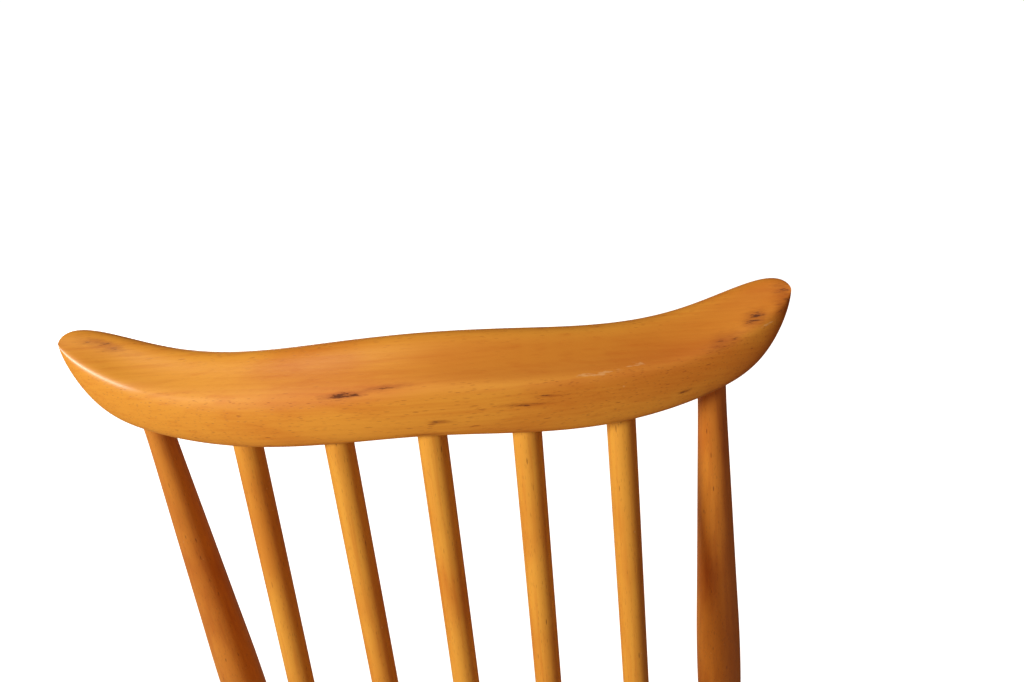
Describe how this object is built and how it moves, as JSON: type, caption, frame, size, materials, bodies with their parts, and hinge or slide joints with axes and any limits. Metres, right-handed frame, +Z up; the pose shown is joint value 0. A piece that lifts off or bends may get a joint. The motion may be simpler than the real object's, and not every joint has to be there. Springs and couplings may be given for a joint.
{
  "type": "rocking chair",
  "caption": "Comb-back wooden rocking chair: carved, curved crest rail on long spindles and splayed tapered posts, dished board seat, turned legs on two curved rockers.",
  "frame": {"origin": "on the floor, at the middle of the box around the chair", "axes": "+Z up, the chair faces -Y, +X is the sitter's left"},
  "size_m": [0.4852, 0.78, 1.0376],
  "materials": {
    "crest_beech": "satin honey lacquer",
    "turned_beech": "satin honey lacquer",
    "dark_beech": "satin honey lacquer",
    "rocker_beech": "satin honey lacquer",
    "seat_elm": "satin honey lacquer",
    "dark_fixings": "satin dark stain"
  },
  "bodies": {
    "root": {"crest_rail": "crest_beech", "long_spindle_1": "turned_beech", "long_spindle_2": "turned_beech", "long_spindle_3": "turned_beech", "long_spindle_4": "turned_beech", "long_spindle_5": "turned_beech", "side_stretcher_left": "turned_beech", "side_stretcher_right": "turned_beech", "cross_stretcher": "turned_beech", "back_post_left": "dark_beech", "back_post_right": "dark_beech", "front_leg_left": "dark_beech", "front_leg_right": "dark_beech", "rear_leg_left": "dark_beech", "rear_leg_right": "dark_beech", "rocker_left": "rocker_beech", "rocker_right": "rocker_beech", "seat_board_left": "seat_elm", "seat_board_middle": "seat_elm", "seat_board_right": "seat_elm", "leg_wedges": "dark_fixings", "rocker_pins": "dark_fixings"}
  },
  "joints": []
}
